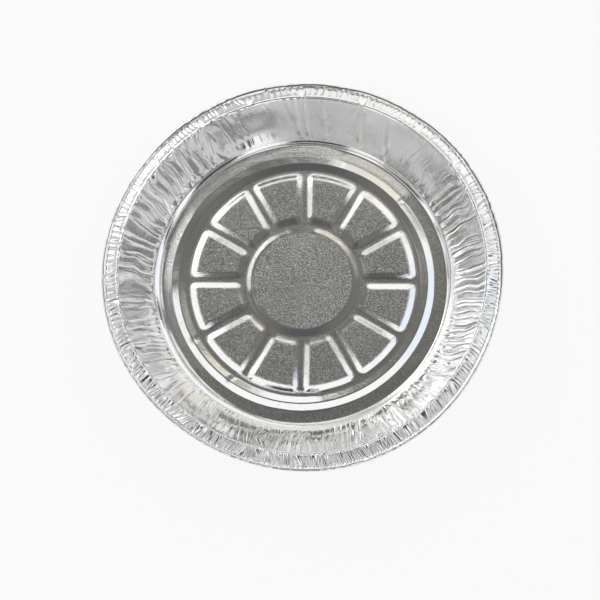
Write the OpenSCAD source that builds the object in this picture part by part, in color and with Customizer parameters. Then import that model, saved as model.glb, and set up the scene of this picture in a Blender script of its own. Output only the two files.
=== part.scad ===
// Foil pie tin, pressed from one thin sheet.
// Millimetres, +Z up, resting plane at z = 0, centre of the base on the Z axis.
// Looking down into the tin, azimuth 0 is +X and angles turn anticlockwise.

/* [Sheet] */
// thickness of the sheet
sheet_t = 0.3; // [0.25:0.01:0.36]

/* [Base] */
// diameter of the base where the wall begins
base_d = 171; // [169:1:185]
// height of the pressed disc and pads above the low base
press_h = 1.3; // [1:0.1:1.8]
// run of the sloped edge of the disc and pads
slope_run = 3.9; // [3.4:0.1:4.4]
// diameter of the flat top of the centre disc
disc_d = 60; // [56:1:63]

/* [Pads] */
// number of wedge pads round the disc
pad_count = 12; // [10:1:14]
// low web between the foot of the disc and the feet of the pads
web_w = 1.6; // [1:0.1:2.4]
// run of the slope at the inner end of a pad
pad_inner_run = 4.4; // [3.6:0.1:5]
// length of the flat top of a pad along its spoke
pad_len = 23.4; // [20:0.2:24.8]
// width from pad top to pad top across a spoke
spoke_w = 10.2; // [9.4:0.1:12]

/* [Ring bead] */
// low gap between the pads and the ring bead
bead_gap = 2.9; // [2:0.1:3.8]
// width of the ring bead
bead_w = 8.1; // [7:0.1:9]
// height of the ring bead
bead_h = 1.3; // [1:0.1:1.8]

/* [Wall] */
// diameter of the mouth at the top line of the wall
mouth_d = 214.4; // [210:0.2:224]
// height of the top line above the base
wall_h = 26; // [22:0.5:34]
// outward run of the smooth foot of the wall
foot_run = 2.6; // [2:0.1:3.4]
// rise of the smooth foot of the wall
foot_rise = 1.9; // [1.4:0.1:2.6]

/* [Folds] */
// number of pleats round the wall
pleat_count = 175; // [140:5:175]
// depth of a pleat to each side of the wall line
pleat_depth = 0.62; // [0.3:0.02:0.66]
// depth of a crease to each side of the ledge line
ledge_crease = 0.4; // [0.1:0.02:0.44]
// number of points on the top line where pleats gather
gather_count = 40; // [24:1:40]
// how far pleats are drawn to a gather point, in degrees
gather_pull = 0.8; // [0:0.05:0.9]
// how far pleats lean round the tin, in degrees
lean = 3; // [0:0.25:3.5]

/* [Rim] */
// width of the sloping ledge outside the top line
ledge_w = 7.3; // [6:0.1:9]
// fall of the ledge from the top line to the crease of the curl
ledge_drop = 3.4; // [2:0.1:4.4]
// outside diameter of the curled edge
curl_d = 2.8; // [2.4:0.1:3.4]
// how far the rim is bent out into three soft lobes
lobe_three = 0.72; // [0:0.04:1]
// how far the rim is bent out into four soft lobes
lobe_four = 0.36; // [0:0.04:0.6]

/* [Hidden] */

foil_colour = [0.78, 0.79, 0.8];
// arcs of the exact round parts
$fn = 144;

// radii of the pressed base, from the axis outward
base_r = base_d / 2;
disc_r = disc_d / 2;
disc_foot_r = disc_r + slope_run;
pad_in_r = disc_foot_r + web_w + pad_inner_run;
pad_out_r = pad_in_r + pad_len;
bead_in_r = pad_out_r + slope_run + bead_gap;
// the foot of the wall laps into the base sheet, a hair inside both its faces
lap_w = 3;
lap_step = 0.02;
// the base sheet ends this far inside the line where the wall begins
plate_back = 0.6;
plate_r = base_r - plate_back;

// section of the wall, as radius and height on the inside face
base_top = sheet_t - lap_step;
foot_end = [base_r + foot_run, base_top + foot_rise];
mouth = [mouth_d / 2, sheet_t + wall_h];
ledge_end = mouth + [ledge_w, -ledge_drop];

function unit(v) = v / norm(v);
// the normal that points to the underside of a section line
function under(v) = [unit(v)[1], -unit(v)[0]];
// the offset of a corner between two section lines
function corner(a, b) = sheet_t * (a + b) / (1 + a * b);

wall_under = under(mouth - foot_end);
ledge_under = under(ledge_end - mouth);
foot_under = under([foot_run, foot_rise]);

// the curled edge starts in the crease at the end of the ledge
curl_r = curl_d / 2;
curl_start = 200;
curl_mid = ledge_end - curl_r * [cos(curl_start), sin(curl_start)];
curl_inner_r = curl_r - sheet_t;
curl_angles = [130, 60, -10, -80];
crease_under = ledge_end + sheet_t * unit(ledge_under - [cos(curl_start), sin(curl_start)]);
function on_curl(a, r) = curl_mid + r * [cos(a), sin(a)];

// two fine columns make one pleat, five fine columns meet one plain column
fine_n = 2 * pleat_count;
step_n = 5;
plain_n = fine_n / step_n;
half_n = 2;

// share of the wall height at each pleated ring
heights = [0.14, 0.34, 0.58, 0.82, 1];
// share of the pleat depth at each pleated ring
depths = [0.75, 1, 1, 0.8, 0.3];

// pleats gather and lean more the higher they stand
function turned(a, up) = a + up * (gather_pull * sin(gather_count * a) + lean * sin(5 * a + 50));

// uneven strength of one pleat at one ring
function uneven(i, ring) = 0.72 + 0.28 * sin(97 * i + 53 * ring) * cos(41 * i - 31 * ring);
function fold(i, ring) = (i % 2 == 0 ? 1 : -1) * uneven(i, ring);

// the rim is bent in step with the height, and its reach stays centred on the base
function lobes(a) = lobe_three * cos(3 * a - 152) + lobe_four * cos(4 * a - 58);
function off_centre(a) = (lobes(a) - lobes(a + 180)) / 2;
function bent(a) = lobes(a) - off_centre(0) * cos(a) - off_centre(90) * sin(a);

// one ring of points, at a section point pushed along its underside normal
function ring_point(p, push, n, i, count, up) =
    let (a = 360 * i / count, t = turned(a, up), q = p + push * n, r = q[0] + up * bent(t))
    [r * cos(t), r * sin(t), q[1]];
function plain_ring(p, up) = [for (i = [0 : plain_n - 1]) ring_point(p, 0, [0, 0], i, plain_n, up)];
function pleated_ring(p, n, depth, ring, up) =
    [for (i = [0 : fine_n - 1]) ring_point(p, depth * fold(i, ring), n, i, fine_n, up)];

function wall_point(up) = foot_end + up * (mouth - foot_end);
top_under = corner(wall_under, ledge_under);
function wall_skin(k) = k == len(heights) - 1 ? top_under : sheet_t * wall_under;
function wall_ring(k, skin) =
    pleated_ring(wall_point(heights[k]) + skin, wall_under, pleat_depth * depths[k], k, heights[k]);
function ledge_ring(skin) = pleated_ring(ledge_end + skin, ledge_under, ledge_crease, len(heights), 1);

// closed loop of rings: up the inside, round the curl and back down the underside
last = len(heights) - 1;
inside_rings = [
    plain_ring([base_r - lap_w, base_top], 0),
    plain_ring([base_r, base_top], 0),
    plain_ring(foot_end, 0),
    for (k = [0 : last]) wall_ring(k, [0, 0]),
    ledge_ring([0, 0])
];
curl_rings = [
    for (a = curl_angles) plain_ring(on_curl(a, curl_r), 1),
    for (k = [len(curl_angles) - 1 : -1 : 0]) plain_ring(on_curl(curl_angles[k], curl_inner_r), 1),
    plain_ring(crease_under, 1)
];
under_foot = (sheet_t - 2 * lap_step) / sheet_t * corner([0, -1], foot_under);
under_rings = [
    ledge_ring(sheet_t * ledge_under),
    for (k = [last : -1 : 0]) wall_ring(k, wall_skin(k)),
    plain_ring(foot_end + corner(foot_under, wall_under), 0),
    plain_ring([base_r + under_foot[0], lap_step], 0),
    plain_ring([base_r - lap_w, lap_step], 0)
];
rings = concat(inside_rings, curl_rings, under_rings);

// index of the first point of each ring
function starts(k) = k == 0 ? [0] : let (s = starts(k - 1)) concat(s, [s[k - 1] + len(rings[k - 1])]);
first = starts(len(rings) - 1);
function at(ring, i) = first[ring] + i % len(rings[ring]);

// faces between two rings of the same count
function even_band(a, b) = [
    for (i = [0 : len(rings[a]) - 1])
    each [[at(a, i), at(a, i + 1), at(b, i + 1)], [at(a, i), at(b, i + 1), at(b, i)]]
];
// faces from a plain ring to a fine ring
function opening_band(a, b) = [
    for (j = [0 : plain_n - 1])
    each [
        for (m = [0 : half_n - 1]) [at(a, j), at(b, step_n * j + m + 1), at(b, step_n * j + m)],
        [at(a, j), at(a, j + 1), at(b, step_n * j + half_n)],
        for (m = [half_n : step_n - 1]) [at(a, j + 1), at(b, step_n * j + m + 1), at(b, step_n * j + m)]
    ]
];
// faces from a fine ring to a plain ring
function closing_band(a, b) = [for (f = opening_band(b, a)) [f[0], f[2], f[1]]];
function band(a, b) =
    len(rings[a]) == len(rings[b]) ? even_band(a, b) :
    len(rings[a]) < len(rings[b]) ? opening_band(a, b) : closing_band(a, b);

// pleated wall, creased ledge and curled edge as one folded skin
module wall_and_rim() {
    polyhedron(
        points = [for (r = rings) each r],
        faces = [for (k = [0 : len(rings) - 1]) each band(k, (k + 1) % len(rings))],
        convexity = 12
    );
}

// section of the base: centre disc, low floor and ring bead, lifted by z
bead_arc = [for (s = [0 : 1 / 6 : 1]) [bead_in_r + bead_w * s, bead_h * (1 - cos(360 * s)) / 2]];
function base_line(z) = concat(
    [[0, press_h + z], [disc_r, press_h + z], [disc_foot_r, z]],
    [for (p = bead_arc) p + [0, z]],
    [[plate_r, z]]
);
function back(v) = [for (i = [len(v) - 1 : -1 : 0]) v[i]];
module base_sheet() {
    rotate_extrude() polygon(concat(base_line(0), back(base_line(sheet_t))));
}

// corners of a pad top: on a circle, at half a spoke's width from the spoke line
spoke_a = 180 / pad_count;
function pad_corner(r) =
    let (g = spoke_w / 2, t = sqrt(r * r - g * g))
    [t * cos(spoke_a) + g * sin(spoke_a), g * cos(spoke_a) - t * sin(spoke_a)];
in_a = atan2(pad_corner(pad_in_r)[1], pad_corner(pad_in_r)[0]);
out_a = atan2(pad_corner(pad_out_r)[1], pad_corner(pad_out_r)[0]);
side_a = -90 - spoke_a;
corner_steps = 3;

// the lower half of a pad outline, from its inner middle to its outer middle
// each entry is the top point's index, the direction of its slope and the run's share
outer_steps = 2;
top_half = [
    [pad_in_r, 0],
    pad_corner(pad_in_r),
    pad_corner(pad_out_r),
    pad_out_r * [cos(out_a / outer_steps), sin(out_a / outer_steps)],
    [pad_out_r, 0]
];
slopes_half = [
    [0, 180, pad_inner_run],
    for (m = [0 : corner_steps])
        let (s = m / corner_steps)
        [1, (1 - s) * (in_a - 180) + s * side_a, (1 - s) * pad_inner_run + s * slope_run],
    for (m = [0 : corner_steps])
        let (s = m / corner_steps)
        [2, (1 - s) * side_a + s * out_a, slope_run],
    [3, out_a / outer_steps, slope_run],
    [4, 0, slope_run]
];
half_last = len(top_half) - 1;
// the upper half mirrors the lower one
top_points = concat(top_half, [for (k = [half_last - 1 : -1 : 1]) [top_half[k][0], -top_half[k][1]]]);
slopes = concat(
    slopes_half,
    [for (k = [len(slopes_half) - 2 : -1 : 1])
        let (e = slopes_half[k]) [2 * half_last - e[0], -e[1], e[2]]]
);

// one pad: its flat top at z, its slopes carried down to z_low
module pad_block(z, z_low) {
    share = (z - z_low) / press_h;
    tops = [for (p = top_points) [p[0], p[1], z]];
    lows = [
        for (e = slopes)
        let (p = top_points[e[0]])
        [p[0] + share * e[2] * cos(e[1]), p[1] + share * e[2] * sin(e[1]), z_low]
    ];
    nt = len(tops);
    nl = len(lows);
    side_faces = [
        for (i = [0 : nl - 1])
        let (j = (i + 1) % nl, ti = slopes[i][0], tj = slopes[j][0])
        each (ti == tj ? [[ti, nt + j, nt + i]] : [[ti, tj, nt + j], [ti, nt + j, nt + i]])
    ];
    polyhedron(
        points = concat(tops, lows),
        faces = concat([[for (i = [nt - 1 : -1 : 0]) i]], [[for (i = [0 : nl - 1]) nt + i]], side_faces),
        convexity = 4
    );
}
module pads(z, z_low) {
    for (k = [0 : pad_count - 1]) {
        rotate([0, 0, (2 * k + 1) * spoke_a]) pad_block(z, z_low);
    }
}

// the pressed base: pads raised on the top face and hollow from below
module base() {
    difference() {
        union() {
            base_sheet();
            pads(press_h + sheet_t, sheet_t / 2);
        }
        pads(press_h, -sheet_t / 2);
    }
}

module foil_tin() {
    color(foil_colour) union() {
        base();
        wall_and_rim();
    }
}

foil_tin();
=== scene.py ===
# %% [markdown]
# # A foil pie tin
#
# A pie tin of this kind is one disc of thin aluminium, pressed between two dies in a single stroke. The
# dies give it a flat centre disc, twelve wedge pads, a ring bead and a smooth foot. The rest of the sheet
# has to find room where the disc is too wide, so the wall gathers into pleats, and the edge is curled
# over to make it safe and stiff.
#
# This lesson builds the tin as one sheet, the way it is pressed. We keep to the sizes of the CAD model,
# in millimetres, and turn them into metres only when the mesh is made. First we load that model, which
# stays as the fixed frame.

# %% Load the frame
import math

import bpy
import numpy as np
from mathutils import Matrix, Vector, noise


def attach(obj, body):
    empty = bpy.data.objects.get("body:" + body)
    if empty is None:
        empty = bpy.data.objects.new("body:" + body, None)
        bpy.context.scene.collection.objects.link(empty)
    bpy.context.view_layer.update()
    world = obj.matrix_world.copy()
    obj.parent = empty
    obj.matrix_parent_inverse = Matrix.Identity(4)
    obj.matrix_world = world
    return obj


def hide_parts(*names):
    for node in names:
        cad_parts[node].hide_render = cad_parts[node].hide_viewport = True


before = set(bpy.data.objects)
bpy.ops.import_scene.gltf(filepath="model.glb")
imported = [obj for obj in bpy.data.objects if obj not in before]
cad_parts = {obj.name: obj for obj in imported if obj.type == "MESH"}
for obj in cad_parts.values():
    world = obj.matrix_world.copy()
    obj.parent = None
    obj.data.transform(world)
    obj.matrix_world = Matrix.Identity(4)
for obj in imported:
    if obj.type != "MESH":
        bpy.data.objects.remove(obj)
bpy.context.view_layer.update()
MM = 0.001

# %% [markdown]
# ## The sizes of the pressing
#
# These are the radii and heights of the inside face. The press lifts the spokes, the disc, the pads and
# the ring bead by small steps. They are shallow, but foil is shiny, so even a shallow slope shows as a
# crisp light or dark band. The radii are those of the CAD model. The heights inside the bead are a little
# greater than there, because we set them by the bands that the slopes show.

# %% Sizes in millimetres
SHEET = 0.25
CLEAR = 0.02
CHANNEL_Z, GAP_Z, SPOKE_Z, WEB_Z = 0.3, 1.15, 1.6, 1.78
TOP_Z, DISC_Z, CREST_Z, BEAD_OUT_Z = 2.8, 2.45, 2.1, 0.5
DISC_TOP, DISC_FOOT = 30.0, 34.0
PAD_IN_FOOT, PAD_IN = 35.6, 39.9
PAD_OUT, PAD_OUT_FOOT = 63.3, 67.4
PAD_DIP = 0.15
SPOKE_TOP, SPOKE_FOOT = 5.1, 1.2
SPOKE_LEVEL_TO = PAD_OUT - 6.0
BEAD_IN, BEAD_CREST, BEAD_OUT = 69.8, 74.0, 78.4
CHANNEL_R, BASE_R = 83.6, 85.7
FOOT_R, FOOT_Z = 88.1, 2.2
MOUTH_R, MOUTH_Z = 107.2, 26.3
HIGHEST_Z = MOUTH_Z + 0.08
LEDGE_R, LEDGE_Z = 114.4, 22.95
PADS = 12
wall_lean = math.degrees(math.atan2(MOUTH_R - FOOT_R, MOUTH_Z - FOOT_Z))
print("wall leans", round(wall_lean, 1), "degrees outward")

# %% [markdown]
# ## Columns that follow the pressing
#
# A round thing wants a round grid: rows are rings and columns run outward. But the spokes between the
# pads keep the same width all the way, so plain radial columns would cross their edges in steps. We
# therefore bend the columns: inside the ring of pads each one keeps a fixed distance from its spoke, and
# elsewhere they are evenly spaced. Every edge of a pad then lies on a grid line and stays crisp.

# %% Column angles for one ring
SIDE_STEPS = [0.0, 0.9, 1.4, 2.4, 3.5, 4.6, 5.15, 5.7]
HALF = 12
BENT_FROM, BENT_FULLY, BENT_UNTIL, BENT_NO_MORE = 31.0, 36.0, 67.0, 74.0


def smooth(x, a, b):
    """0 up to a, 1 from b on, and an even S between them."""
    t = np.clip((x - a) / (b - a), 0.0, 1.0)
    return t * t * (3 - 2 * t)


def column_angles(r):
    """Where the columns stand on the ring of one radius, in radians."""
    even = np.arange(HALF + 1) * (math.pi / PADS / HALF)
    side = np.arcsin(np.array(SIDE_STEPS) / max(r, BENT_FULLY))
    rest = np.linspace(side[-1], math.pi / PADS, HALF + 2 - len(SIDE_STEPS))[1:]
    kept = np.concatenate([side, rest])
    share = float(smooth(r, BENT_FROM, BENT_FULLY) * (1 - smooth(r, BENT_UNTIL, BENT_NO_MORE)))
    half = even * (1 - share) + kept * share
    sector = np.concatenate([half[:-1], 2 * math.pi / PADS - half[:0:-1]])
    return np.concatenate([sector + k * 2 * math.pi / PADS for k in range(PADS)])


print("base columns:", len(column_angles(50.0)))

# %% [markdown]
# ## The shape of the dies
#
# The height of the sheet is a function of the place on the base. A pad is flat on top, and its sides fall
# in proportion to the distance from the top's edge, which rounds the corners at the foot by itself. The
# disc is a flat top with a slope, and the bead is a small ridge with two straight sides. Of the low
# parts, the spokes lie above the gap, and the tin rests on its outer channel.

# %% Pads, disc and the low parts between them
FOOT_SOFT = 0.07


def ease_foot(share):
    """A straight slope with a crisp top and a soft foot, from 1 at the top to 0."""
    s = np.clip(share, 0.0, 1 + FOOT_SOFT)
    soft = (1 + FOOT_SOFT - s) ** 2 / (4 * FOOT_SOFT)
    return np.where(s < 1 - FOOT_SOFT, 1 - s, soft)


def pad_share(r, a):
    """1 on top of a pad, 0 at its foot and beyond."""
    sector = 2 * math.pi / PADS
    from_spoke = np.abs((a + sector / 2) % sector - sector / 2)
    side = np.maximum(SPOKE_TOP - r * np.sin(from_spoke), 0) / (SPOKE_TOP - SPOKE_FOOT)
    inner = np.maximum(PAD_IN - r, 0) / (PAD_IN - PAD_IN_FOOT)
    outer = np.maximum(r - PAD_OUT, 0) / (PAD_OUT_FOOT - PAD_OUT)
    return ease_foot(np.sqrt(side ** 2 + inner ** 2 + outer ** 2))


def disc_share(r):
    """1 on top of the centre disc, 0 at its foot and beyond."""
    return ease_foot((r - DISC_TOP) / (DISC_FOOT - DISC_TOP))


def floor_level(r):
    """Spokes, gap, bead and channel, without the pads and the disc."""
    places = [PAD_IN_FOOT, PAD_IN, SPOKE_LEVEL_TO, PAD_OUT_FOOT, BEAD_IN, BEAD_CREST, BEAD_OUT, CHANNEL_R]
    levels = [WEB_Z, SPOKE_Z, SPOKE_Z, GAP_Z, GAP_Z, CREST_Z, BEAD_OUT_Z, CHANNEL_Z]
    return np.interp(r, places, levels)


pad_lean = math.degrees(math.atan2(TOP_Z - SPOKE_Z, SPOKE_TOP - SPOKE_FOOT))
print("slope of a pad's side, degrees:", round(pad_lean, 1))

# %% [markdown]
# ## Where the dies pressed unevenly
#
# Real pressings are never quite even. On this tin the rim of the disc is higher on the left and lower on
# the far side, the outer side of the bead is lifted along the left, the channel is lifted at the far
# left, the bead has a flatter facet at the far right, and the gap is deeper on the near side. Each of
# these is a stretch between two azimuths with soft ends, in degrees from +X. Over everything lies a
# slight sag, too low to measure but easy to see in something that mirrors as well as foil.

# %% Height of the sheet over the base
BEAD_BACK_AT = [72.5, 75, 80, 112, 118, 143, 152, 178, 188, 222, 240]
BEAD_BACK_LIFT = [0, 0.95, 1.15, 1.15, 0.95, 0.95, 1.1, 1.1, 0.45, 0.35, 0]
BROAD_SAG = {"high": 0.10, "wide": 26.0, "seed": 3.1}
SMALL_SAG = {"high": 0.035, "wide": 9.0, "seed": 8.4}


def pressed(az, start, end, soft):
    """1 between two azimuths, 0 elsewhere, with soft ends."""
    return smooth(az, start - soft, start + soft) * (1 - smooth(az, end - soft, end + soft))


def uneven(r, a):
    """Higher and lower stretches of the disc's rim, the bead, the channel and the gap."""
    az = np.degrees(a) % 360
    rim = 0.34 * pressed(az, 124, 194, soft=8.0) - 0.22 * pressed(az, 79, 106, soft=4.0)
    rim = rim * np.interp(r, [20.0, DISC_TOP - 0.5, DISC_TOP + 0.2, DISC_FOOT], [0, 1, 1, 0])
    bead_back = np.interp(az, BEAD_BACK_AT, BEAD_BACK_LIFT)
    bead_back = bead_back * np.interp(r, [BEAD_CREST, BEAD_OUT, CHANNEL_R, BASE_R], [0, 1, 0, 0])
    channel = 0.5 * pressed(az, 75, 148, soft=2.5) + 0.3 * pressed(az, 79, 115, soft=3.0)
    channel = channel * np.interp(r, [BEAD_OUT, CHANNEL_R, BASE_R], [0, 1, 0.4])
    facet = pressed(az, 40.5, 73.0, soft=0.8)
    facet = facet * np.interp(r, [BEAD_CREST, BEAD_OUT, 80.4, 84.9, BASE_R], [0, 0.86, 0.8, 0, 0])
    gap = -0.5 * pressed(az, 236.6, 279, soft=0.9)
    gap = gap * np.interp(r, [PAD_OUT_FOOT - 0.6, PAD_OUT_FOOT, BEAD_IN, BEAD_CREST], [0, 1, 1, 0])
    return rim + bead_back + channel + facet + gap


def sag(x, y, high, wide, seed):
    """Smooth noise over the base, one value for each point."""
    spots = zip(x.ravel(), y.ravel())
    level = [noise.noise(Vector((p / wide, q / wide, seed))) for p, q in spots]
    return high * np.array(level).reshape(x.shape)


def base_height(r, a):
    """The inside face of the base, without its dents."""
    low = floor_level(r)
    pad_top = TOP_Z - PAD_DIP * (1 - smooth(r, PAD_IN, PAD_OUT))
    h = np.maximum(low + (pad_top - low) * pad_share(r, a), low + (DISC_Z - low) * disc_share(r))
    x, y = r * np.cos(a), r * np.sin(a)
    keep = smooth(r, 0.0, 6.0) * (1 - smooth(r, 80.0, 86.0))
    return h + uneven(r, a) + (sag(x, y, **BROAD_SAG) + sag(x, y, **SMALL_SAG)) * keep


BASE_RADII = [2.5, 6, 10, 14, 18, 22, 26, 29.2, 30, 31.3, 32.6, 33.6, 34.2, 34.9, 35.7, 37.4, 38.7, 39.85,
              40.6, 43, 46, 49, 52, 55, 58, 61, 62.6, 63.35, 64.4, 65.6, 66.9, 67.7, 69.2, 69.8, 70.5, 72,
              73.5, 74.0, 74.6, 76.4, 77.8, 78.4, 79.2, 81, 83, 84.8, 85.7, 86.2, 87.0]
print("base rings:", len(BASE_RADII))

# %% [markdown]
# ## Dents that this tin has
#
# The tin has been handled. Its channel is pinched at the far left, where the wall was once pushed in, the
# bead has two small nicks, and the near side of the channel is pushed up a little. Each dent is a soft
# bump or hollow at a place, so we keep them in one list: the azimuth, the radius, how far round and how
# far outward they reach, and how high they are.

# %% The list of dents
DENTS = [
    (106.0, 84.9, 6.0, 1.6, -0.3),
    (112.0, 81.0, 5.0, 1.4, 0.14),
    (96.0, 82.6, 6.0, 1.2, 0.12),
    (235.3, 73.6, 0.9, 1.7, -0.55),
    (209.7, 72.6, 0.9, 1.7, -0.45),
    (221.0, 85.0, 1.4, 1.6, 0.45),
    (262.0, 81.0, 3.0, 2.0, 0.25),
    (323.0, 83.0, 5.0, 2.4, 0.35),
]


def dents(r, a):
    """Height of all dents together at each point."""
    total = np.zeros_like(r)
    for azimuth, radius, turn, out, high in DENTS:
        da = (np.degrees(a) - azimuth + 180) % 360 - 180
        total += high * np.exp(-((da / turn) ** 2) - ((r - radius) / out) ** 2)
    return total


print("dents:", len(DENTS))

# %% [markdown]
# ## Where the pleats lie
#
# When the sheet is drawn into the wall, the spare foil folds up. The folds are narrow laps with wide,
# nearly smooth bands between them. They are closer together on the near half of the tin, they lean, and
# near the top several of them run together into one point. We place the border of each pleat at every
# height. Each pleat owns six columns, so its lap always falls exactly on a grid line.

# %% Random places of the pleats
rng = np.random.default_rng(11)
PLEATS = 192
SHARES = np.array([0.0, 0.11, 0.3, 0.5, 0.7, 0.89])
COLUMNS = PLEATS * len(SHARES)
WIDER_BY, WIDER_FROM = 0.32, 8
GATHERS = 40
GATHER_REACH, GATHER_PULL = 2.6, 0.72
LEAN_WAVES = [(3, 2.1), (5, 1.6), (8, 1.2), (13, 0.9)]
LEAN = 0.8


def azimuth_gap(a, b):
    """The shorter way round from b to a, in degrees."""
    return (a - b + 180) % 360 - 180


width = rng.uniform(0.55, 1.45, PLEATS)
place = np.arange(PLEATS) * 360 / PLEATS
width *= 1.0 + WIDER_BY * np.sin(np.radians(place - WIDER_FROM))
border = np.concatenate([[0], np.cumsum(width)[:-1]]) / width.sum() * 360
gathers = np.arange(GATHERS) * (360 / GATHERS) + rng.uniform(-2.2, 2.2, GATHERS)
lean_phase = rng.uniform(0, 360, len(LEAN_WAVES))
widest = float(width.max() / width.sum() * 360)
print("pleats:", PLEATS, "columns:", COLUMNS, "widest, degrees:", round(widest, 2))


# %% Borders of the pleats at one height
def lean(a):
    """How far the pleats lean over from foot to top, in degrees."""
    return sum(far * np.sin(np.radians(turns * a + p)) for (turns, far), p in zip(LEAN_WAVES, lean_phase))


def noise_round(turn, reach, rate, seed, up):
    """Noise that closes on itself round the tin and drifts on the way up."""
    spots = [(reach * math.cos(t), reach * math.sin(t), rate * up + seed) for t in turn]
    return np.array([noise.noise(Vector(spot)) for spot in spots])


def sway(up):
    """Neighbouring borders wander together, and each a little on its own."""
    turn = np.arange(PLEATS) * 2 * math.pi / PLEATS
    together = noise_round(turn, reach=9.5, rate=2.6, seed=4, up=up)
    alone = noise_round(turn, reach=28, rate=4.5, seed=9, up=up)
    return 1.1 * together + 0.4 * alone


def pleat_borders(up):
    """Azimuth of each border, up being 0 at the foot of the wall and 1 at its top."""
    a = border + lean(border) * up * LEAN + sway(up)
    near = gathers[np.argmin(np.abs(azimuth_gap(a[:, None], gathers[None])), axis=1)]
    gap = azimuth_gap(near, a)
    return a + gap * (GATHER_PULL * up ** 1.6) * np.exp(-((gap / GATHER_REACH) ** 2))


def wall_angles(up):
    """Azimuth of every column of the wall at one height, in degrees."""
    b = pleat_borders(up)
    following = np.append(b[1:], b[0] + 360)
    return (b[:, None] + (following - b)[:, None] * SHARES[None]).ravel()


all_in_order = all((np.diff(wall_angles(up)) > 0).all() for up in np.linspace(0, 1, 9))
print("columns stay in order on the way up:", bool(all_in_order))

# %% [markdown]
# ## How deep the pleats are
#
# The depth of a pleat changes round the tin. The far side was ironed almost smooth by the die, and the
# left side has strong finger-like folds with rounded lower ends. We give each pleat a lap height, a swell
# for the band beside it and a tilt of that band, fade all three with slow noise along the wall, and let
# everything start above the smooth foot. From the left round to the near side the bands are calmer, and
# all pleats are set back outward a little.

# %% Shape of a pleat across its six columns
LAP_SHAPE = np.array([1.0, 0.12, 0.0, 0.0, 0.0, 0.12])
SWELL_SHAPE = np.array([0.0, 0.42, 0.9, 1.0, 0.9, 0.42])
TILT_SHAPE = np.array([0.0, -0.39, -0.2, 0.0, 0.2, 0.39])
LAP_DEPTH, SWELL_DEPTH, TILT_DEPTH = 0.52, 0.46, 0.62
lap = rng.uniform(0.25, 1.0, PLEATS)
swell = rng.uniform(-0.35, 1.0, PLEATS)
tilt = rng.uniform(-1.0, 1.0, PLEATS)
drift = rng.uniform(0, 50, PLEATS)
near_side = smooth(place, 170, 190) * (1 - smooth(place, 255, 285))
calm = 1 - 0.55 * near_side
print("mean lap, mm:", round(float(LAP_DEPTH * lap.mean()), 2))


# %% Where the wall is pleated
def strength(az):
    """1 where the wall is fully pleated, near 0 on the smooth far side."""
    ironed = smooth(az, 22, 62) * (1 - smooth(az, 104, 118))
    return 1 - 0.86 * ironed


def foot_height(az):
    """How far up the wall the smooth foot reaches, as a share of the wall."""
    bumps = [(118.5, 4.0, 0.15), (308.0, 26.0, 0.09), (225.0, 40.0, 0.03), (140.0, 24.0, 0.07),
             (0.0, 22.0, 0.05)]
    return sum(high * np.exp(-((azimuth_gap(az, middle) / wide) ** 2)) for middle, wide, high in bumps)


def slow(values, up, rate):
    """Slow noise along the wall, one line of it for each value."""
    return np.array([noise.noise(Vector((v, up * rate, 0.7))) for v in values])


def grow(up, start):
    """0 below the start and 1 a little above it."""
    return smooth(np.full_like(start, up), start, start + 0.1)


all_round = np.arange(360.0)
print("share of the wall's turn that is ironed:", round(float((strength(all_round) < 0.5).mean()), 2))

# %% Depth of the folds on the wall
FINGER_COLUMNS = 2 * len(SHARES)
FINGER_DEPTH, FINGERS_AT, FINGERS_REACH = 1.8, 143, 20
SET_BACK = 0.5
across_pleat = np.tile((2 * SHARES - 1) ** 2, PLEATS)
across_finger = np.tile(np.arange(FINGER_COLUMNS) / FINGER_COLUMNS * 2 - 1, PLEATS // 2)


def fold_depth(up, az):
    """Push towards the inside, in mm, for every column at one height."""
    # What is added to the drift only picks another stretch of the same noise.
    laps = lap * np.clip(0.75 + 1.1 * slow(drift, up, 3.2), 0, 1.5)
    swells = swell * np.clip(0.7 + 1.0 * slow(drift + 9, up, 2.4), -0.4, 1.4)
    tilts = tilt + 1.2 * slow(drift + 21, up, 2.6)
    depth = LAP_DEPTH * np.outer(laps, LAP_SHAPE) + np.outer(SWELL_DEPTH * calm * swells, SWELL_SHAPE)
    depth = depth + np.outer(TILT_DEPTH * calm * tilts, TILT_SHAPE)
    set_back = SET_BACK * smooth(az, 112, 124) * (1 - smooth(az, 248, 272))
    depth = (depth.ravel() - set_back) * grow(up, foot_height(az) + 0.05 * across_pleat)
    in_reach = np.exp(-((azimuth_gap(az, FINGERS_AT) / FINGERS_REACH) ** 4))
    fingers = FINGER_DEPTH * in_reach * (0.55 - np.abs(across_finger) ** 2.4)
    fingers = fingers * grow(up, foot_height(az) + 0.10 * across_finger ** 2)
    end = 1 - 0.5 * smooth(np.full_like(az, up), 0.88, 1.0)
    return (depth + fingers) * end * strength(az)


WALL_UPS = [0.0, 0.03, 0.06, 0.09, 0.125, 0.17, 0.23, 0.3, 0.38, 0.46, 0.55, 0.64, 0.73, 0.81, 0.88, 0.95,
            1.0]
print("deepest fold, mm:", round(float(np.abs(fold_depth(0.5, wall_angles(0.5) % 360)).max()), 2))

# %% [markdown]
# ## Single creases on the smooth side
#
# On the smooth far side a few creases stand alone, mostly in pairs that meet in a narrow V below the top
# line. They are short grooves along the wall, so each one is a line from one place to another with a
# small depth: the azimuth and the height on the wall of its upper end, the same of its lower end, and how
# deep it is.

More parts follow.
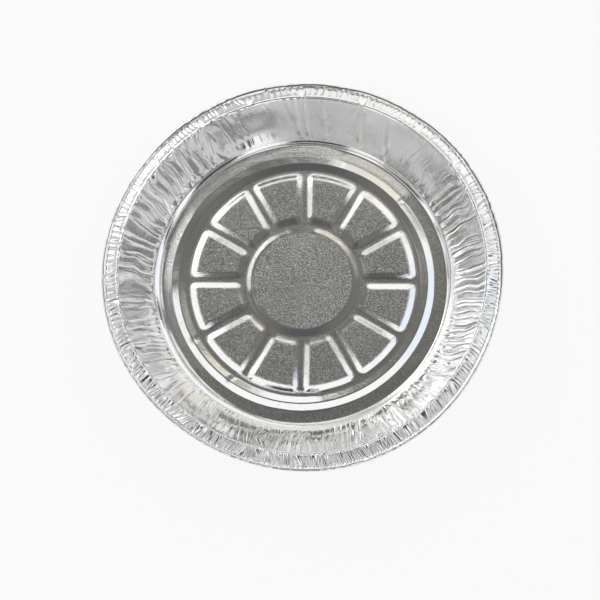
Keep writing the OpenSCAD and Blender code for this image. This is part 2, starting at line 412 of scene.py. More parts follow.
# %% The single creases
CREASES = [
    (84.8, 0.92, 83.0, 0.30, 0.26), (82.9, 0.95, 81.2, 0.12, -0.2), (71.8, 0.97, 70.0, 0.2, 0.24),
    (70.2, 0.8, 67.9, 0.12, -0.2), (60.6, 0.9, 59.6, 0.5, 0.22), (60.0, 0.4, 57.4, 0.08, -0.24),
    (58.2, 0.42, 58.9, 0.1, 0.2), (52.4, 0.7, 52.0, 0.3, 0.3), (50.4, 0.72, 50.0, 0.28, 0.32),
    (48.6, 0.7, 48.9, 0.3, 0.28), (112.4, 0.99, 114.4, 0.64, 0.34), (111.0, 0.98, 113.6, 0.7, -0.3),
    (102.0, 0.97, 104.0, 0.72, 0.28), (96.4, 0.98, 94.0, 0.55, 0.24), (93.6, 0.97, 92.4, 0.2, 0.2),
    (124.6, 0.96, 123.0, 0.66, 0.4), (99.2, 0.5, 99.8, 0.2, 0.16), (90.4, 0.86, 89.2, 0.15, 0.14),
]
CREASE_DEPTH, CREASE_WIDE = 2.2, 0.36


def single_creases(up, az):
    """Push of the single creases, in mm, for every column at one height."""
    total = np.zeros_like(az)
    for top_az, top_up, low_az, low_up, deep in CREASES:
        t = np.clip((top_up - up) / (top_up - low_up), 0, 1)
        line = top_az + (low_az - top_az) * t
        ends = smooth(up, low_up - 0.06, low_up + 0.08) * (1 - smooth(up, top_up - 0.08, top_up + 0.04))
        total += CREASE_DEPTH * deep * ends * np.exp(-((azimuth_gap(az, line) / CREASE_WIDE) ** 2))
    return total


print("single creases:", len(CREASES))

# %% [markdown]
# ## The rim is bent
#
# Seen from above, the mouth isn't a true circle: it bulges in three and four soft lobes, as thin tins do
# once they have been stacked and picked up. The bend grows with the height, and it is centred so that the
# tin's middle stays put.

# %% How far the rim is bent out
def lobes(a):
    """Three lobes and four lobes together, in mm."""
    return 0.72 * np.cos(3 * a - math.radians(152)) + 0.36 * np.cos(4 * a - math.radians(58))


def bent(a):
    """The lobes without the shift that they would give the rim as a whole."""
    def off(b):
        return (lobes(b) - lobes(b + math.pi)) / 2
    return lobes(a) - off(0.0) * np.cos(a) - off(math.pi / 2) * np.sin(a)


print("most bent, mm:", round(float(np.abs(bent(np.linspace(0, 6.28, 500))).max()), 2))

# %% [markdown]
# ## Rings of points
#
# Now everything comes together as a list of rings, from the middle of the base outward, up the wall, over
# the top line, down the ledge and round the curl. Each ring is an array of points in millimetres. Between
# the base and the wall the number of columns grows by four, because the base needs few and the pleats
# need many.

# %% Base and foot
def ring(r, z, a):
    """Points at radius r and height z, one for each azimuth in radians."""
    return np.stack([r * np.cos(a), r * np.sin(a), np.broadcast_to(z, np.shape(a))], axis=-1)


rings = []
for r in BASE_RADII:
    a = column_angles(r)
    rr = np.full_like(a, r)
    if r > BASE_R:
        rise = (r - BASE_R) / (FOOT_R - BASE_R)
        z = CHANNEL_Z + (FOOT_Z - CHANNEL_Z) * (0.75 * rise + 0.25 * rise ** 2) + 0.5 * dents(rr, a)
    else:
        z = base_height(rr, a) + dents(rr, a)
    rings.append(ring(rr, np.maximum(z, SHEET + CLEAR), a))
print("rings so far:", len(rings))

# %% Wall
run, climb = MOUTH_R - FOOT_R, MOUTH_Z - FOOT_Z
slant = math.hypot(run, climb)
IN, DOWN = climb / slant, run / slant
BUCKLE_AT, BUCKLE_REACH, BUCKLE_DEPTH = 108, 9, 1.7
WAVE_DEPTH = 0.35

for up in WALL_UPS:
    az = wall_angles(up)
    a = np.radians(az)
    push = fold_depth(up, az % 360) + single_creases(up, az % 360)
    wave = noise_round(a, reach=4.2, rate=1.6, seed=5.3, up=up)
    push = push + WAVE_DEPTH * wave * math.sin(math.pi * min(up * 1.1, 1.0))
    low_half = float(smooth(up, 0, 0.3) * (1 - smooth(up, 0.3, 0.85)))
    push = push - BUCKLE_DEPTH * low_half * np.exp(-((azimuth_gap(az, BUCKLE_AT) / BUCKLE_REACH) ** 2))
    r = FOOT_R + run * up - push * IN + up * bent(a)
    z = np.minimum(FOOT_Z + climb * up + push * DOWN, HIGHEST_Z)
    rings.append(ring(r, z, a))
print("rings so far:", len(rings), "wall slant, mm:", round(slant, 1))

# %% [markdown]
# ## The ledge
#
# Outside the top line the sheet stays level over a narrow lip, and then turns down into a sloping ledge,
# pressed into fine creases that run nearly outward. They are closer than the pleats: one for every four
# columns. The columns come up from the wall unevenly spaced, so on the ledge we let them drift to an even
# spacing. At the points where pleats gather, the sheet can't lie flat and leaves a small three-cornered
# hollow at the inner edge.

# %% Random creases of the ledge
LEDGE_STEPS = [0.03, 0.09, 0.18, 0.34, 0.52, 0.72, 0.88, 1.0]
CREASE_COLUMNS = 4
CREASE_COUNT = COLUMNS // CREASE_COLUMNS
crease_high = rng.uniform(0.25, 1.0, CREASE_COUNT)
crease_drift = rng.uniform(0, 50, CREASE_COUNT)
crease_lean = rng.uniform(-0.7, 0.7, CREASE_COUNT)
crease_tilt = rng.uniform(-1, 1, CREASE_COUNT)
crease_place = np.arange(CREASE_COUNT) * 360 / CREASE_COUNT
crease_high *= 0.75 + 0.5 * smooth(crease_place, 120, 150) * (1 - smooth(crease_place, 255, 280))
print("ledge creases:", CREASE_COUNT, "mean height:", round(float(crease_high.mean()), 2))

# %% Columns that drift to an even spacing
AVERAGED = 61
MARGIN = AVERAGED // 2
top_angles = wall_angles(1.0)
step_here = np.diff(np.append(top_angles, top_angles[0] + 360))
step_wrapped = np.concatenate([step_here[-MARGIN:], step_here, step_here[:MARGIN]])
step_soft = np.convolve(step_wrapped, np.ones(AVERAGED) / AVERAGED, "valid")
even_angles = top_angles[0] + np.concatenate([[0], np.cumsum(step_soft)[:-1]])
even_angles = even_angles + np.mean(top_angles - even_angles)
jitter = 0.9 * np.repeat(rng.uniform(-0.28, 0.28, CREASE_COUNT), CREASE_COLUMNS)
print("uneven steps, degrees:", round(float(step_here.min()), 3), "to", round(float(step_here.max()), 3))

# %% Height of the ledge's creases and hollows
HOLLOW_WIDE, HOLLOW_DEPTH, HOLLOW_VARIES = 0.55, 0.9, 0.37
LEDGE_PEAK, LEDGE_TILT = 0.4, 0.18
from_gather = np.abs(azimuth_gap(top_angles[:, None], gathers[None])).min(axis=1)
hollow = np.exp(-((from_gather / HOLLOW_WIDE) ** 2))
hollow_size = 0.5 + 0.5 * np.sin(top_angles * HOLLOW_VARIES)


def ledge_push(step):
    """Push of the creases, in mm, for every column at one step down the ledge."""
    along = crease_high * (0.9 + 0.7 * slow(crease_drift, step, 2.4))
    tilted = crease_tilt * (0.6 + 1.2 * slow(crease_drift + 5, step, 2.0))
    peaks = LEDGE_PEAK * np.outer(along, [-1.0, 0.0, 1.0, 0.0])
    return (peaks + LEDGE_TILT * np.outer(tilted, [0.0, 1.0, 0.0, -1.0])).ravel()


def hollow_push(step):
    """Depth of the three-cornered hollows, in mm."""
    return HOLLOW_DEPTH * hollow * hollow_size * math.exp(-((step - 0.12) / 0.16) ** 2)


print("columns in a hollow:", int((hollow > 0.5).sum()))

# %% Ledge
LIP, LIP_FADES = 0.09, 0.25
SUNK = 0.12
ledge_run, ledge_fall = LEDGE_R - MOUTH_R, MOUTH_Z - LEDGE_Z
ledge_slant = math.hypot(ledge_run, ledge_fall)
for step in LEDGE_STEPS:
    mix = step ** 0.7
    shift = np.repeat(crease_lean, CREASE_COLUMNS) * (step - 0.5)
    shift = shift + 0.9 * np.sin(np.radians(4 * even_angles + 40)) * step
    az = np.sort(top_angles * (1 - mix) + (even_angles + jitter) * mix + shift * mix)
    a = np.radians(az)
    push = ledge_push(step) * min(1.0, 0.15 + step * 3) - SUNK - hollow_push(step)
    level_lip = ledge_fall * (step if step <= LIP else LIP * max(0.0, 1 - (step - LIP) / LIP_FADES))
    r = MOUTH_R + ledge_run * step + bent(a) + push * ledge_fall / ledge_slant
    z = MOUTH_Z - ledge_fall * step + level_lip + push * ledge_run / ledge_slant
    rings.append(ring(r, np.minimum(z, HIGHEST_Z), a))
print("rings so far:", len(rings))

# %% [markdown]
# ## The curled edge
#
# The raw edge of the foil would cut, so the press rolls it over into a small open curl. On the far and
# right side the curl was pressed flat into a hem, and elsewhere it stayed rounder. So we write down two
# outlines, as steps out and up from the end of the ledge, and blend from one to the other. The creases of
# the ledge run on into the curl and fade there. Short stretches of it are pushed in or out and a few
# columns are pinched, which is why the edge glints in dashes. Every second column ends at the crease: the
# curl needs fewer.

# %% The two outlines of the curl
CURL_COLUMNS = COLUMNS // 2
FLAT_HEM = [(0.15, 0.45), (0.42, 1.0), (0.62, 1.18), (1.5, 1.3), (2.4, 1.3), (2.75, 0.8), (2.8, 0.0),
            (2.45, -0.75), (1.6, -1.1)]
ROUND_HEM = [(0.2, 0.3), (0.6, 0.85), (1.05, 1.2), (1.5, 1.3), (1.95, 1.15), (2.45, 0.6), (2.6, 0.0),
             (2.3, -0.8), (1.5, -1.1)]
FLAT_MIDDLE = 68
curl_az = az[::2]
from_flat = azimuth_gap(curl_az, FLAT_MIDDLE)
pressed_flat = smooth(from_flat, -80, -62) * (1 - smooth(from_flat, 55, 80))
print("share of the edge that is pressed flat:", round(float(pressed_flat.mean()), 2))

# %% Dashes and pinches of the curl
PINCHES = 110
dash = np.zeros(CURL_COLUMNS)
tip = np.zeros(CURL_COLUMNS)
dash_count = 0
at = 0
while at < CURL_COLUMNS:
    length = int(rng.integers(3, 10))
    dash[at:at + length] = rng.uniform(-1, 1)
    tip[at:at + length] = rng.uniform(-1, 1)
    at += length
    dash_count += 1
pinch = np.zeros(CURL_COLUMNS)
pinch[rng.choice(CURL_COLUMNS, PINCHES, replace=False)] = 1.0
print("dashes:", dash_count, "pinches:", PINCHES)

# %% Round the curl
COMB_FADES = 7
comb = (push[::2] + SUNK) * (1.1 - 0.75 * pressed_flat)
squeeze = 1 - 0.05 * (1 + dash) - 0.22 * pinch
a = np.radians(curl_az)
for past, (flat_point, round_point) in enumerate(zip(FLAT_HEM, ROUND_HEM)):
    out = pressed_flat * flat_point[0] + (1 - pressed_flat) * round_point[0]
    high = pressed_flat * flat_point[1] + (1 - pressed_flat) * round_point[1]
    r = LEDGE_R + out * (1 - 0.06 * pinch) + bent(a)
    z = LEDGE_Z + high * squeeze + 0.12 * tip * (out - 1.4) + comb * max(0.0, 1 - past / COMB_FADES)
    rings.append(ring(r, z, a))
farthest = max(float(np.hypot(q[:, 0], q[:, 1]).max()) for q in rings)
print("rings in all:", len(rings), "reach, mm:", round(farthest, 2))

# %% [markdown]
# ## Joining the rings into one sheet
#
# Two neighbouring rings with the same number of columns are joined by four-sided faces. Where the number
# changes, one long edge meets several short ones through a small fan of triangles. The middle is closed
# with a fan too. Then a Solidify modifier gives the sheet its thickness, below the face that we built, so
# that it is a closed solid.

# %% Faces between two rings
def join_alike(first, second, count):
    """Four-sided faces between two rings with the same number of columns."""
    i = np.arange(count)
    j = (i + 1) % count
    return np.stack([first + i, second + i, second + j, first + j], axis=1).tolist()


def join_fanned(sparse, few, dense, many, sparse_is_inner):
    """Triangles between a ring with few columns and a ring with many."""
    step = many // few
    faces = []
    for i in range(few):
        j = (i + 1) % few
        for m in range(step):
            p = dense + i * step + m
            q = dense + (i * step + m + 1) % many
            root = sparse + (i if m < step / 2 else j)
            faces.append([root, p, q] if sparse_is_inner else [root, q, p])
            if m == (step - 1) // 2:
                bridge = [sparse + i, q, sparse + j]
                faces.append(bridge if sparse_is_inner else [sparse + i, sparse + j, q])
    return faces


def join(inner, inner_count, outer, outer_count):
    """Faces between two rings, given the first point and the number of points of each."""
    if inner_count == outer_count:
        return join_alike(inner, outer, inner_count)
    if inner_count < outer_count:
        return join_fanned(inner, inner_count, outer, outer_count, True)
    return join_fanned(outer, outer_count, inner, inner_count, False)


print("faces for an edge that meets four:", len(join(0, 3, 3, 12)) // 3)

# %% All faces
counts = [len(q) for q in rings]
starts = [1 + sum(counts[:k]) for k in range(len(rings))]
centre = np.array([[0, 0, rings[0][:, 2].mean()]])
points = np.concatenate([centre] + rings) * MM
faces = [[0, 1 + i, 1 + (i + 1) % counts[0]] for i in range(counts[0])]
for k in range(len(rings) - 1):
    faces += join(starts[k], counts[k], starts[k + 1], counts[k + 1])
print("points:", len(points), "faces:", len(faces))

# %% The sheet as an object
mesh = bpy.data.meshes.new("foil_sheet")
mesh.from_pydata(points.tolist(), [], faces)
mesh.validate()
mesh.shade_smooth()
tin = bpy.data.objects.new("foil_sheet", mesh)
bpy.context.scene.collection.objects.link(tin)
thick = tin.modifiers.new("sheet thickness", "SOLIDIFY")
thick.thickness = SHEET * MM
thick.offset = -1
thick.use_quality_normals = True
print("triangles with both faces:", 2 * sum(len(f) - 2 for f in faces))

# %% [markdown]
# ## Zones of the finish
#
# The base was stretched over the die and shows a fine pebbled grain. The slopes and the wall were ironed
# and stayed brighter, and the far wall, which was ironed hardest, has a satin shine. We store how much
# grain and how much satin each point has as attributes of the mesh, which the material can read.

# %% Grain and satin of each point
LOW_GRAIN, LEAST_GRAIN, PADS_LESS = 0.6, 0.12, 0.15
radius = np.hypot(points[:, 0], points[:, 1]) / MM
angle = np.arctan2(points[:, 1], points[:, 0])


def store(name, values):
    """Keeps one number for each point of the sheet."""
    mesh.attributes.new(name, "FLOAT", "POINT").data.foreach_set("value", values.astype(np.float32))


pad_level = pad_share(radius, angle)
on_top = smooth(pad_level, 0.93, 1.0) + (radius < DISC_TOP)
on_bead = smooth(radius, BEAD_IN - 0.3, BEAD_IN) * (1 - smooth(radius, BEAD_OUT, BEAD_OUT + 0.3))
low_flat = 1 - smooth(pad_level + disc_share(radius), 0.0, 0.12) - on_bead
grain = np.clip(on_top + LOW_GRAIN * low_flat, LEAST_GRAIN, 1) * (1 - smooth(radius, BASE_R - 1.0, BASE_R))
grain = grain * (1 - PADS_LESS * smooth(radius, DISC_FOOT + 1.0, DISC_FOOT + 3.0))
on_wall = smooth(radius, 87.0, 90.0) * (1 - smooth(radius, 105.5, 107.0))
satin = (1 - strength(np.degrees(angle) % 360)) * on_wall
store("grain", grain)
store("satin", satin)
print("mean grain:", round(float(grain.mean()), 3), "mean satin:", round(float(satin.mean()), 3))

# %% [markdown]
# ## Helpers for node trees
#
# The foil, the floor and the room are all made of shader nodes. Adding a node, setting its values and
# wiring its inputs is the same work each time, so we write it once. A value that is given can be a plain
# number or colour, or the output of another node. The Mix node has several sockets of the same name, so
# we reach those for colours by their numbers.

# %% Adding and wiring nodes
MIX_UNDER, MIX_OVER, MIX_RESULT = 6, 7, 2


def feed(tree, socket, given):
    """Wires a socket to another node's output, or sets it to a plain value."""
    if isinstance(given, bpy.types.NodeSocket):
        tree.links.new(given, socket)
    else:
        socket.default_value = given


def add_node(tree, kind, **given):
    """A new node. Each value goes to its setting of that name, or else to its input of that name."""
    made = tree.nodes.new(kind)
    for name, value in given.items():
        if hasattr(made, name):
            setattr(made, name, value)
        else:
            feed(tree, made.inputs[name.replace("_", " ")], value)
    return made


def add_math(tree, operation, *parts):
    """The result of a maths node."""
    made = add_node(tree, "ShaderNodeMath", operation=operation)
    for socket, part in zip(made.inputs, parts):
        feed(tree, socket, part)
    return made.outputs[0]


def add_colour_mix(tree, share, under, over, blend="MIX"):
    """One colour laid over another."""
    made = add_node(tree, "ShaderNodeMix", data_type="RGBA", blend_type=blend, Factor=share)
    feed(tree, made.inputs[MIX_UNDER], under)
    feed(tree, made.inputs[MIX_OVER], over)
    return made.outputs[MIX_RESULT]


def add_soft_step(tree, value, low, high):
    """0 below one value and 1 above another, with soft ends."""
    made = add_node(tree, "ShaderNodeMapRange", interpolation_type="SMOOTHSTEP", Value=value,
                    From_Min=low, From_Max=high)
    return made.outputs["Result"]


helpers = (feed, add_node, add_math, add_colour_mix, add_soft_step)
print("helpers:", ", ".join(helper.__name__ for helper in helpers))

# %% [markdown]
# ## Bare aluminium foil
#
# Rolled foil is bright but not a perfect mirror, and where it was stretched it shows a pebbled grain. Its
# colour is nearly neutral. We take a metal shader and start with its colour: soft clouds of tone
# everywhere, and specks where the grain is.

# %% Colour of the foil
foil = bpy.data.materials.new("bare_foil")
foil.use_nodes = True
leaf = foil.node_tree
shader = leaf.nodes["Principled BSDF"]
shader.inputs["Metallic"].default_value = 1.0
shader.inputs["Specular IOR Level"].default_value = 0.5

spot = add_node(leaf, "ShaderNodeTexCoord").outputs["Object"]
grain_here = add_node(leaf, "ShaderNodeAttribute", attribute_name="grain").outputs["Fac"]
cloud = add_node(leaf, "ShaderNodeTexNoise", Vector=spot, Scale=38.0, Detail=3.0, Roughness=0.55)
tint = add_node(leaf, "ShaderNodeValToRGB", Fac=cloud.outputs["Fac"])
tint.color_ramp.elements[0].position = 0.32
tint.color_ramp.elements[0].color = (0.89, 0.89, 0.89, 1)
tint.color_ramp.elements[1].position = 0.68
tint.color_ramp.elements[1].color = (0.935, 0.933, 0.926, 1)

speck = add_node(leaf, "ShaderNodeTexNoise", Vector=spot, Scale=1700.0, Detail=1.0, Roughness=0.5)
speck_level = add_node(leaf, "ShaderNodeMapRange", Value=speck.outputs["Fac"],
                       From_Min=0.36, From_Max=0.64, To_Min=0.44, To_Max=1.1)
speck_here = add_node(leaf, "ShaderNodeMix", data_type="FLOAT", Factor=grain_here,
                      A=1.0, B=speck_level.outputs["Result"])
colour = add_colour_mix(leaf, 1.0, tint.outputs["Color"], speck_here.outputs[0], "MULTIPLY")
feed(leaf, shader.inputs["Base Color"], colour)
print("nodes for the colour:", len(leaf.nodes))

# %% [markdown]
# ## How rough the foil is
#
# A smooth metal mirrors its room sharply, and a rough one smears it. The grain makes the base rougher,
# faint smears from handling vary it everywhere, and the satin of the far wall adds to it there.

# %% Roughness of the foil
SHINY, GRAIN_ROUGH, SATIN_ROUGH = 0.08, 0.14, 0.17
smear = add_node(leaf, "ShaderNodeTexNoise", Vector=spot, Scale=90.0, Detail=4.0, Roughness=0.6)
smear_level = add_node(leaf, "ShaderNodeMapRange", Value=smear.outputs["Fac"],
                       From_Min=0.3, From_Max=0.7, To_Min=-0.03, To_Max=0.05)
satin_here = add_node(leaf, "ShaderNodeAttribute", attribute_name="satin").outputs["Fac"]
rough = add_math(leaf, "MULTIPLY_ADD", grain_here, GRAIN_ROUGH, SHINY)
rough = add_math(leaf, "ADD", rough, smear_level.outputs["Result"])
rough = add_math(leaf, "MULTIPLY_ADD", satin_here, SATIN_ROUGH, rough)
feed(leaf, shader.inputs["Roughness"], rough)
print("roughness, smooth and grained:", SHINY, round(SHINY + GRAIN_ROUGH, 2))

# %% [markdown]
# ## Grain and wrinkles
#
# Two bumps finish the foil. The pebbles are as fine as the specks and follow the grain, and very shallow
# wrinkles lie everywhere. Both are far finer than the mesh, so they belong in the material. We chain
# them: the second bump starts from the result of the first.

# %% Bump of the foil
PEBBLE_HIGH, WRINKLE_HIGH = 0.00022, 0.00006
pebble = add_node(leaf, "ShaderNodeTexNoise", Vector=spot, Scale=1500.0, Detail=2.0, Roughness=0.6)
pebble_bump = add_node(leaf, "ShaderNodeBump", Strength=1.0, Height=pebble.outputs["Fac"],
                       Distance=add_math(leaf, "MULTIPLY", grain_here, PEBBLE_HIGH))
wrinkle = add_node(leaf, "ShaderNodeTexNoise", Vector=spot, Scale=260.0, Detail=4.0, Roughness=0.62,
                   Distortion=0.6)
wrinkle_bump = add_node(leaf, "ShaderNodeBump", Strength=1.0, Height=wrinkle.outputs["Fac"],
                        Distance=WRINKLE_HIGH, Normal=pebble_bump.outputs["Normal"])
feed(leaf, shader.inputs["Normal"], wrinkle_bump.outputs["Normal"])
mesh.materials.append(foil)
print("foil nodes:", len(leaf.nodes))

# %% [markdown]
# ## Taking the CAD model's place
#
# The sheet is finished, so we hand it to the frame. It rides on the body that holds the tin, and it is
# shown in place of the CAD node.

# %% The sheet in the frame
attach(tin, "root")
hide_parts("foil_tin")
print("shown:", tin.name)

# %% [markdown]
# ## A white floor
#
# The tin stands on plain white. The floor is a large plane, and what the camera and the foil see of it is
# lifted towards white by a share, so that the soft shadow under the tin stays.

# %% Floor
HALF_FLOOR, FLOOR_DROP, LIFTED = 3.0, 0.0002, 0.88
corners = [(HALF_FLOOR * x, HALF_FLOOR * y, 0) for x, y in ((-1, -1), (1, -1), (1, 1), (-1, 1))]
floor_mesh = bpy.data.meshes.new("floor")
floor_mesh.from_pydata(corners, [], [[0, 1, 2, 3]])
floor = bpy.data.objects.new("floor", floor_mesh)
floor.location.z = -FLOOR_DROP
bpy.context.scene.collection.objects.link(floor)
print("floor:", 2 * HALF_FLOOR, "m square")

# %% White of the floor
white = bpy.data.materials.new("white_floor")
white.use_nodes = True
paint = white.node_tree
matt = paint.nodes["Principled BSDF"]
matt.inputs["Base Color"].default_value = (0.9, 0.9, 0.9, 1)
matt.inputs["Roughness"].default_value = 0.9
matt.inputs["Specular IOR Level"].default_value = 0.0
glow = add_node(paint, "ShaderNodeEmission", Color=(1, 1, 1, 1), Strength=1.0)
seen_by = add_node(paint, "ShaderNodeLightPath").outputs
seen = add_math(paint, "MAXIMUM", seen_by["Is Camera Ray"], seen_by["Is Glossy Ray"])
seen = add_math(paint, "MAXIMUM", seen, seen_by["Is Transmission Ray"])
blend = add_node(paint, "ShaderNodeMixShader", Fac=add_math(paint, "MULTIPLY", seen, LIFTED))
feed(paint, blend.inputs[1], matt.outputs[0])
feed(paint, blend.inputs[2], glow.outputs[0])
feed(paint, paint.nodes["Material Output"].inputs["Surface"], blend.outputs[0])
floor_mesh.materials.append(white)
print("floor nodes:", len(paint.nodes))

# %% [markdown]
# ## The camera
#
# The photograph was taken from above, about 15 degrees off the vertical. A fit to the rings gives the
# place of the camera and how much of the frame the tin fills. We build the camera's axes by hand, because
# looking almost straight down leaves no natural upward direction.

# %% Camera
TILT, TURN, AWAY = math.radians(15.40), math.radians(-79.98), 0.914
YAW, PITCH, ROLL = math.radians(-0.111), math.radians(-0.687), math.radians(1.12)
FOCAL_PX, FRAME_PX, SENSOR = 1532.0, 600.0, 36.0


def turned(first, second, by):
    """Two axes turned in their own plane, the second towards the first."""
    return first * math.cos(by) - second * math.sin(by), first * math.sin(by) + second * math.cos(by)


eye = Vector((math.sin(TILT) * math.cos(TURN), math.sin(TILT) * math.sin(TURN), math.cos(TILT)))
look = -eye
page_up = Vector((-math.sin(ROLL), math.cos(ROLL), 0))
right = look.cross(page_up).normalized()
above = right.cross(look)
right, look = turned(right, look, YAW)
above, look = turned(above, look, PITCH)
camera_data = bpy.data.cameras.new("camera")
camera_data.sensor_width = SENSOR
camera_data.lens = FOCAL_PX / FRAME_PX * SENSOR
camera = bpy.data.objects.new("camera", camera_data)
camera.matrix_world = Matrix.Translation(eye * AWAY) @ Matrix((right, above, -look)).transposed().to_4x4()
bpy.context.scene.collection.objects.link(camera)
bpy.context.scene.camera = camera
print("lens, mm:", round(camera_data.lens, 1))

# %% [markdown]
# ## The room that the foil mirrors
#
# A shiny thing looks like the room round it, so the room is half of how the tin looks. We paint it on the
# world, which is what a ray sees when it misses everything. It is hard to guess where a patch of it must
# hang to show in a given slope, so we ask the other way round: what does a slope of a given lean, turned
# to a given side, mirror to the camera? A small function gives that direction.

# %% Directions in the room
def mirrored(lean, face):
    """The direction that a slope shows to the camera; lean and face in degrees."""
    l, f = math.radians(lean), math.radians(face)
    n = Vector((math.sin(l) * math.cos(f), math.sin(l) * math.sin(f), math.cos(l)))
    return 2 * n.dot(eye) * n - eye


def toward(height, turn):
    """The direction at a height over the horizon and a turn round the tin, in degrees."""
    h, t = math.radians(height), math.radians(turn)
    return Vector((math.cos(h) * math.cos(t), math.cos(h) * math.sin(t), math.sin(h)))


OVER_IT = mirrored(0, 0)
print("level foil mirrors what hangs", round(math.degrees(math.asin(OVER_IT.z)), 1), "degrees up")

# %% [markdown]
# ## Windows and posts
#
# Round the tin goes a ring of bright windows with dark posts between them. Only the steep parts mirror
# it: the wall, the ledge and the curl, whose folds get their contrast from the posts. Higher up the posts
# end in plain white, so that the slopes of the base don't see them. Below the windows the room is grey,
# and darker still at the horizon. Each post has an azimuth, half a width in degrees, and a brightness.

# %% Ring of windows
WHITE_WALL, LOW_WALL, HORIZON = (1.06, 1.06, 1.06), (0.62, 0.62, 0.62), (0.24, 0.24, 0.245)
POSTS = [(28, 6, 0.1), (352, 7, 0.1), (110, 7, 0.35), (176, 13, 0.08), (213, 14, 0.06), (260, 17, 0.06),
         (316, 16, 0.08)]
POST_EDGE = 3
world = bpy.data.worlds.new("soft_room")
bpy.context.scene.world = world
world.use_nodes = True
room = world.node_tree
gaze = add_node(room, "ShaderNodeTexCoord").outputs["Generated"]
gaze_parts = add_node(room, "ShaderNodeSeparateXYZ", Vector=gaze).outputs
turn_round = add_math(room, "ARCTAN2", gaze_parts["Y"], gaze_parts["X"])
share_round = add_node(room, "ShaderNodeMapRange", Value=turn_round, From_Min=-math.pi, From_Max=math.pi)
windows = add_node(room, "ShaderNodeValToRGB", Fac=share_round.outputs["Result"])
stops = windows.color_ramp.elements
for stop, end in zip(stops, (0.0, 1.0)):
    stop.position = end
    stop.color = (*WHITE_WALL, 1)
for azimuth, half, tone in POSTS:
    for offset, level in ((-half, WHITE_WALL[0]), (POST_EDGE - half, tone), (half - POST_EDGE, tone),
                          (half, WHITE_WALL[0])):
        stop = stops.new(((azimuth + offset + 180) % 360) / 360)
        stop.color = (level, level, level * 1.01, 1)
print("posts:", len(POSTS))


# %% Walls of the room
def within(aim, inner, outer):
    """1 for rays nearer than inner degrees to a direction, 0 beyond outer degrees."""
    near = add_node(room, "ShaderNodeVectorMath", operation="DOT_PRODUCT")
    feed(room, near.inputs[0], gaze)
    feed(room, near.inputs[1], aim)
    low, high = math.cos(math.radians(outer)), math.cos(math.radians(inner))
    return add_soft_step(room, near.outputs["Value"], low, high)


over_horizon = add_soft_step(room, gaze_parts["Z"], 0.03, 0.12)
over_sills = add_soft_step(room, gaze_parts["Z"], 0.24, 0.4)
low_part = add_colour_mix(room, over_horizon, (*HORIZON, 1), (*LOW_WALL, 1))
high_part = add_colour_mix(room, within(OVER_IT, 49, 54), windows.outputs["Color"], (*WHITE_WALL, 1))
seen_there = add_colour_mix(room, over_sills, low_part, high_part)
print("room nodes so far:", len(room.nodes))

# %% [markdown]
# ## Soft patches in the room
#
# Over the tin hangs something dark, where the viewer stood, and it keeps the flat foil grey. It is no
# plain disc: it reaches out further over some slopes than over others. Round it hang smaller patches:
# warm ones for the far right slopes of the disc and the bead, cool ones on the right, and greyer or
# darker ones where a slope of the pads, the disc or the bead is dim in the photograph. Each patch has a
# direction, the angles at which it is full and gone, and a colour. Later ones lie over earlier ones.

# %% Patches
WARM, PALE_WARM, COOL = (1.08, 1.04, 0.93), (0.95, 0.915, 0.81), (0.9, 0.98, 1.08)
OVERHEAD, OVERHEAD_WARM = (0.168, 0.164, 0.148), (0.27, 0.265, 0.235)
HALF_LIT, SHADE = (0.56, 0.55, 0.51), (0.11, 0.11, 0.105)
COOL_SHADE, DEEP_SHADE = (0.1, 0.103, 0.107), (0.06, 0.063, 0.068)


def grey(level):
    """A neutral grey."""
    return (level, level, level)


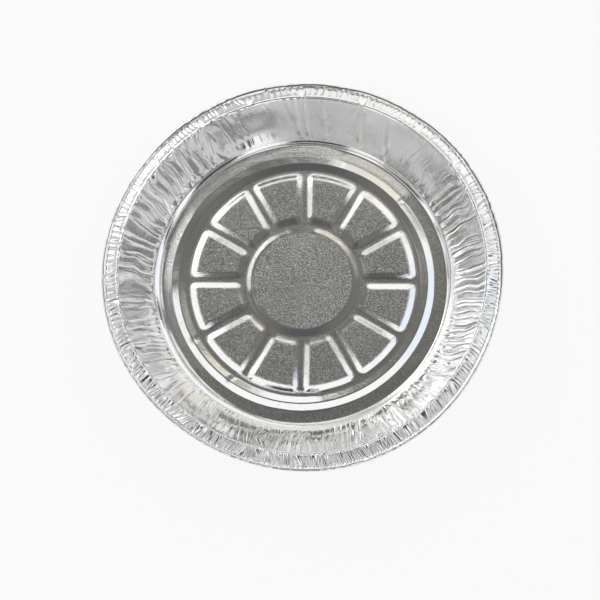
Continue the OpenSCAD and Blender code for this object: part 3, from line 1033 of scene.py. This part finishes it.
PATCHES = [
    (toward(14, 80), 8, 20, (0.97, 0.96, 0.93)),
    (toward(45, 14), 8, 16, COOL),
    (toward(50, 352), 4, 12, COOL),
    (mirrored(20.5, 28), 3, 6, HALF_LIT),
    (mirrored(20.5, 54), 4, 7, WARM),
    (mirrored(17, 152), 2, 5, grey(0.72)),
    (mirrored(17, 181), 2, 5, grey(0.62)),
    (mirrored(17, 60), 2.5, 6, (0.36, 0.36, 0.35)),
    (mirrored(17, 120), 2.5, 6, grey(0.42)),
    (mirrored(17, 1), 2, 5, grey(0.2)),
    (OVER_IT, 14, 19, OVERHEAD),
    (mirrored(8, 270), 19, 23, OVERHEAD),
    (mirrored(8, 315), 19, 23, OVERHEAD),
    (mirrored(7, 225), 16, 21, OVERHEAD),
    (mirrored(7, 356), 17, 21, OVERHEAD),
    (mirrored(5, 157), 16.5, 18.5, OVERHEAD),
    (mirrored(10, 272), 5, 12, COOL_SHADE),
    (mirrored(4, 60), 2, 11, OVERHEAD_WARM),
    (mirrored(3, 300), 1, 9, (0.1, 0.104, 0.11)),
    (mirrored(11.8, 18), 2, 5, HALF_LIT),
    (mirrored(12, 47), 4, 7, PALE_WARM),
    (mirrored(12, 58), 4, 7, PALE_WARM),
    (mirrored(12, 69), 3, 6, (0.85, 0.82, 0.73)),
    (mirrored(8, 190), 2, 4, grey(0.6)),
    (mirrored(7.6, 204), 2, 3.5, grey(0.4)),
    (mirrored(6, 122), 2, 5, SHADE),
    (mirrored(6, 142), 2, 5, SHADE),
    (mirrored(16, 285), 4, 8, DEEP_SHADE),
]
for aim, full, gone, tone in PATCHES:
    seen_there = add_colour_mix(room, within(aim, full, gone), seen_there, (*tone, 1))
background = room.nodes["Background"]
feed(room, background.inputs["Color"], seen_there)
background.inputs["Strength"].default_value = 1.0
print("patches in the room:", len(PATCHES))

# %% [markdown]
# ## A soft lamp
#
# One large soft lamp at the far left gives the folds their thin white glints and the tin a soft shadow.

# %% Lamp
lamp_data = bpy.data.lights.new("soft_lamp", "AREA")
lamp_data.shape = "DISK"
lamp_data.size = 0.9
lamp_data.energy = 2.4
lamp = bpy.data.objects.new("soft_lamp", lamp_data)
lamp.location = (-1.0, 1.0, 0.85)
lamp.rotation_euler = (-lamp.location).to_track_quat("-Z", "Y").to_euler()
bpy.context.scene.collection.objects.link(lamp)
print("lamp is", round(lamp.location.length, 2), "m away")

# %% [markdown]
# ## The view
#
# The picture uses the plain Standard view, so a colour looks as it is written.

# %% Finish
bpy.context.scene.view_settings.view_transform = "Standard"
